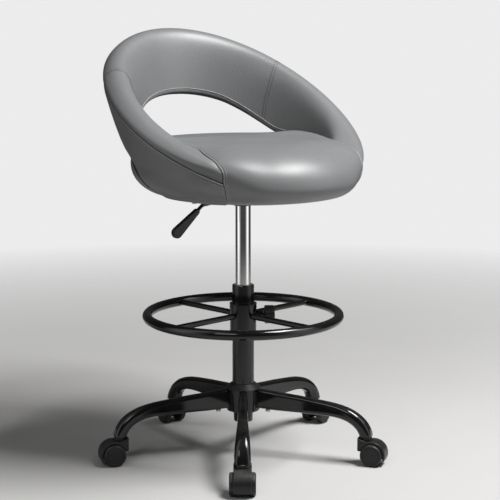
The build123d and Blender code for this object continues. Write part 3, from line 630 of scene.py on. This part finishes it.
def stitch_row(name, points):
    """A row of thread stitches along a seam: one stitch is shaped, then repeated along the path."""
    path = path_of(name + "_path", points)
    bpy.ops.object.select_all(action="DESELECT")
    bpy.ops.mesh.primitive_cylinder_add(vertices=6, radius=STITCH_THICK / 2, depth=STITCH_LONG * 0.6)
    row = bpy.context.object
    row.name = name
    row.rotation_euler = (0, pi / 2, 0)
    row.location = (STITCH_LONG / 2, 0, 0)
    bpy.ops.object.transform_apply(location=True, rotation=True, scale=True)
    bpy.ops.object.mode_set(mode="EDIT")
    bpy.ops.mesh.select_mode(type="FACE")
    for way in (-1, 1):
        bpy.ops.mesh.select_all(action="DESELECT")
        bpy.ops.object.mode_set(mode="OBJECT")
        for face in row.data.polygons:
            face.select = face.normal.x * way > 0.9
        bpy.ops.object.mode_set(mode="EDIT")
        tip = {"value": (way * STITCH_LONG * 0.2, 0, 0)}
        bpy.ops.mesh.extrude_region_move(TRANSFORM_OT_translate=tip)
        bpy.ops.transform.resize(value=(1, 0.45, 0.45))
    bpy.ops.object.mode_set(mode="OBJECT")
    repeat = row.modifiers.new("repeat", "ARRAY")
    repeat.fit_type = "FIT_CURVE"
    repeat.curve = path
    repeat.use_relative_offset = False
    repeat.use_constant_offset = True
    repeat.constant_offset_displace = (STITCH_PITCH, 0, 0)
    follow = row.modifiers.new("follow", "CURVE")
    follow.object = path
    only(row)
    bpy.ops.object.modifier_apply(modifier="repeat")
    bpy.ops.object.modifier_apply(modifier="follow")
    bpy.ops.object.shade_smooth()
    bpy.data.objects.remove(path)
    row.data.materials.append(thread)
    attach(row, "seat")


def onto(piece, point, lift=0.0):
    """The nearest place on a piece's skin, lifted off it, and the skin's direction there."""
    place, normal = piece.closest_point_on_mesh(point)[1:3]
    return place + normal * lift, normal


def side_step(piece, points, distance, lift):
    """A line beside another on the same skin, at a distance to its left as seen from outside."""
    moved = []
    for k, point in enumerate(points):
        before, after = points[max(0, k - 1)], points[min(len(points) - 1, k + 1)]
        place, normal = onto(piece, point)
        along = after - before
        moved.append(onto(piece, place + normal.cross(along).normalized() * distance, lift)[0])
    return moved


# lapped seam on the outer side of the roll, with a near-black cord above it as painted shade in the groove,
# and the stitches under it
ROLL_WELT, ROLL_GROOVE = 0.0027, 0.0024
WELT_DROP, STITCH_DROP, STITCH_OUT = 0.001, 0.008, 0.003
GROOVE_RISE = Vector((0, 0, 0.0025))
roll_seam, roll_stitch = [], []
for k in range(int((360 - 2 * BAND_FRONT) / SEAM_STEP) + 1):
    turn = BAND_FRONT + SEAM_STEP * k
    half = min(turn, 360 - turn)
    reach, middle = roll_middle(half)
    pinched = reach + between(ROLL_OUT, half) - SEAM_PINCH
    roll_seam.append(onto(backrest, at(turn, pinched, middle - WELT_DROP), 0.0003)[0])
    low = middle - STITCH_DROP
    roll_stitch.append(onto(backrest, at(turn, panel_reach(half, low) + STITCH_OUT, low), 0.0002)[0])
# the pale welt is a painted highlight along the ridge of the seam
seam_cord("roll_welt", roll_seam, ROLL_WELT, welt_highlight_cover)
seam_cord("roll_groove_shade", [point + GROOVE_RISE for point in roll_seam], ROLL_GROOVE, groove_shade_cover)
stitch_row("roll_stitches", roll_stitch)

# thin piping along the inner lower edge of the band, pale as a painted highlight
PIPING, PIPING_START, PIPING_POINTS = 0.0017, 118, 83
edge_line = []
for k in range(PIPING_POINTS):
    turn = PIPING_START + SEAM_STEP * k
    inner_edge = band_outline(min(turn, 360 - turn))[PANEL_STEPS + ROLL_STEPS + WALL_STEPS - 1]
    edge_line.append(onto(backrest, at(turn, *inner_edge), 0.0004)[0])
seam_cord("edge_piping", edge_line, PIPING, welt_highlight_cover)

# seam between seat and roll on each side: turn, reach and height of the guide line
SEAT_SEAM = [
    (44.4, 0.2388, 0.617), (44.4, 0.252, 0.629), (44.4, 0.260, 0.642), (44.6, 0.266, 0.6565),
    (44.9, 0.2675, 0.668), (45.8, 0.267, 0.6804), (47.8, 0.2623, 0.6901), (51.1, 0.2539, 0.6993),
    (54.9, 0.2444, 0.7045), (58.5, 0.2349, 0.709), (62, 0.227, 0.711), (66, 0.2215, 0.713),
    (72, 0.2165, 0.716), (80, 0.2165, 0.719), (90, 0.219, 0.723), (100, 0.2245, 0.727),
    (108, 0.2295, 0.73), (115, 0.2335, 0.73), (120.5, 0.2365, 0.727), (124.5, 0.238, 0.721),
]
# thickness of seam and welt, and how far welt and stitches lie beside the seam
SEAT_SEAM_THICK, SEAT_WELT_THICK = 0.0026, 0.0015
SEAT_WELT, SEAT_STITCH = 0.0026, 0.0085
# points from one row to the next, and rounds that settle the line on both skins and even it out
SEAM_POINTS, SETTLE_ROUNDS, EVEN_ROUNDS = 4, 12, 6
for side, hand in ((-1, "right"), (1, "left")):
    guide = []
    for k in range(SEAM_POINTS * (len(SEAT_SEAM) - 1) + 1):
        columns = [[(SEAM_POINTS * n, row[axis]) for n, row in enumerate(SEAT_SEAM)] for axis in range(3)]
        turn, reach, height = [between(column, k) for column in columns]
        guide.append(at(side * turn, reach, height))
    meet = []
    for point in guide:
        for _ in range(SETTLE_ROUNDS):
            point = onto(seat_pad, point)[0]
            point = onto(backrest, point)[0]
        meet.append(point)
    for _ in range(EVEN_ROUNDS):
        meet[1:-1] = [(a + 2 * b + c) / 4 for a, b, c in zip(meet, meet[1:], meet[2:])]
    # the seam cord is near black: painted shade in the crease where seat and roll meet
    seam_cord(f"seat_seam_{hand}", meet, SEAT_SEAM_THICK, groove_shade_cover)
    # a pale welt beside the seam: painted highlight along its ridge
    welt = side_step(seat_pad, meet, side * SEAT_WELT, 0.0001)
    seam_cord(f"seat_welt_{hand}", welt, SEAT_WELT_THICK, welt_highlight_cover)
    stitch_row(f"seat_stitches_{hand}", side_step(seat_pad, meet, side * SEAT_STITCH, 0.0002))

# near-black strip on the seat behind the rear edge of each outer panel, thicker towards the floor: painted
# shade for the shadowed gap between panel and seat
GAP_SHADE_BLACK = (0.004, 0.004, 0.004)
GAP_START, GAP_POINTS, GAP_BEHIND = 89.0, 24, 3.6
GAP_DROP, GAP_RISE, RISE_TURNS = 0.012, 0.004, (92, 100)
GAP_THICK, GAP_TAPER, TAPER_TURNS = 0.0072, 0.7, (95, 107)
gap_shade_cover = covering("painted_gap_shade", GAP_SHADE_BLACK, 0.8)
for side, hand in ((-1, "right"), (1, "left")):
    gap, swell = [], []
    for k in range(GAP_POINTS):
        turn = GAP_START + k
        low = between(LOWER_EDGE, turn) - GAP_DROP + GAP_RISE * ease(*RISE_TURNS, turn)
        gap.append(onto(seat_pad, at(side * (turn + GAP_BEHIND), panel_reach(turn, low), low), 0.0004)[0])
        swell.append(1.0 - GAP_TAPER * ease(*TAPER_TURNS, turn))
    seam_cord(f"painted_gap_shade_{hand}", gap, GAP_THICK, gap_shade_cover, swell)

# cross seams over the roll and down the inner side, a little further back at the lower edge, drawn as two
# dark cords: painted shade in the seam's grooves
CROSS_SEAMS = {"right": (-121.5, -126.0), "left": (127.0, 133.0)}
# how far the second line lies beside the first, and the thickness of both
CROSS_LAP, CROSS_THICK, LAP_THICK = 0.0065, 0.0012, 0.0010
CROSS_SHADE_GREY = (0.06, 0.06, 0.061)
cross_shade_cover = covering("painted_cross_shade", CROSS_SHADE_GREY, 0.5)
first, last = PANEL_STEPS, PANEL_STEPS + ROLL_STEPS + WALL_STEPS
for hand, (upper, lower) in CROSS_SEAMS.items():
    line = []
    for k in range(first, last + 1):
        turn = upper + (lower - upper) * ease(first + ROLL_STEPS, last, k)
        line.append(onto(backrest, at(turn, *band_outline(abs(turn))[k]))[0])
    seam_cord(f"cross_seam_{hand}", line, CROSS_THICK, cross_shade_cover)
    seam_cord(f"cross_lap_{hand}", side_step(backrest, line, CROSS_LAP, 0.0), LAP_THICK, cross_shade_cover)


# ---------------------------------------------------------------- floor, light and camera
# A plain pale floor that fades into a pale surround, a broad light above, a window high on the right and a
# weak fill on the left.
FLOOR_TONES = (0.57, 0.565, 0.555), (0.64, 0.635, 0.625)
FADE_START, FADE_END = 0.9, 3.2
floor_paint, tree, shader = new_material("pale_floor", specular=0.3)
spot = add(tree, "ShaderNodeTexCoord").outputs["Object"]
patches = speckle(tree, spot, 1.3, 5.0, 0.6)
tree.links.new(mixed(tree, patches, *FLOOR_TONES), shader.inputs["Base Color"])
shader.inputs["Roughness"].default_value = 0.5
flat = add(tree, "ShaderNodeVectorMath", {0: spot}, operation="LENGTH").outputs["Value"]
tree.links.new(spread(tree, flat, FADE_START, FADE_END, 1.0, 0.0), shader.inputs["Alpha"])
bpy.ops.object.select_all(action="DESELECT")
bpy.ops.mesh.primitive_circle_add(vertices=96, radius=8.0, fill_type="NGON", location=(0, 0, 0))
floor = bpy.context.object
floor.name = "floor"
floor.data.materials.append(floor_paint)

# what shines mirrors a bright pane on either side of the camera, and a dim room before and behind it
TO_CAMERA = (-0.592, -0.806, 0.0)
PANE_ACROSS, PANE_GLOW = 0.3, 1.3
# strength of the surround as light, and as the camera sees it
ROOM_GLOW, BACKDROP = 0.06, 0.84
world = bpy.data.worlds.new("surround")
bpy.context.scene.world = world
world.use_nodes = True
tree = world.node_tree
path = add(tree, "ShaderNodeLightPath")
strength = spread(tree, path.outputs["Is Camera Ray"], 0.0, 1.0, ROOM_GLOW, BACKDROP)
facing = add(tree, "ShaderNodeTexCoord").outputs["Generated"]
flat = add(tree, "ShaderNodeVectorMath", {0: facing, 1: (1, 1, 0)}, operation="MULTIPLY").outputs["Vector"]
flat = add(tree, "ShaderNodeVectorMath", {0: flat}, operation="NORMALIZE").outputs["Vector"]
across = add(tree, "ShaderNodeVectorMath", {0: flat, 1: TO_CAMERA}, operation="DOT_PRODUCT").outputs["Value"]
aside = maths(tree, "ABSOLUTE", maths(tree, "SUBTRACT", across, PANE_ACROSS), 0.0)
panes = spread(tree, aside, 0.08, 0.5, PANE_GLOW, 0.0)
shine = maths(tree, "MULTIPLY", path.outputs["Is Glossy Ray"], panes)
tree.links.new(maths(tree, "ADD", strength, shine), tree.nodes["Background"].inputs["Strength"])
tree.nodes["Background"].inputs["Color"].default_value = (1.0, 1.0, 1.0, 1.0)

LIT_POINT = (0, 0, 0.6)


def soft_light(name, place, size, power):
    """A soft box that faces the middle of the chair."""
    lamp = bpy.data.lights.new(name, "AREA")
    lamp.shape = "RECTANGLE"
    lamp.size, lamp.size_y = size
    lamp.energy = power
    holder = bpy.data.objects.new(name, lamp)
    holder.location = place
    way = [t - p for t, p in zip(LIT_POINT, place)]
    pitch = atan2(hypot(way[0], way[1]), -way[2])
    holder.rotation_euler = (pitch, 0, atan2(way[1], way[0]) - pi / 2)
    bpy.context.scene.collection.objects.link(holder)


soft_light("window", (2.0, -1.8, 2.7), (1.2, 1.2), 14)
soft_light("ceiling", (0.85, -1.2, 3.0), (1.3, 1.0), 134)
soft_light("left_fill", (-2.2, -1.4, 2.4), (1.2, 1.2), 14)

camera = bpy.data.cameras.new("camera")
camera.lens = 98.71
camera.sensor_width = 36.0
holder = bpy.data.objects.new("camera", camera)
holder.location = (-1.8078, -2.4875, 0.9636)
holder.rotation_euler = (radians(80.95), 0, radians(-36.3))
bpy.context.scene.collection.objects.link(holder)
bpy.context.scene.camera = holder
bpy.context.scene.view_settings.view_transform = "Standard"
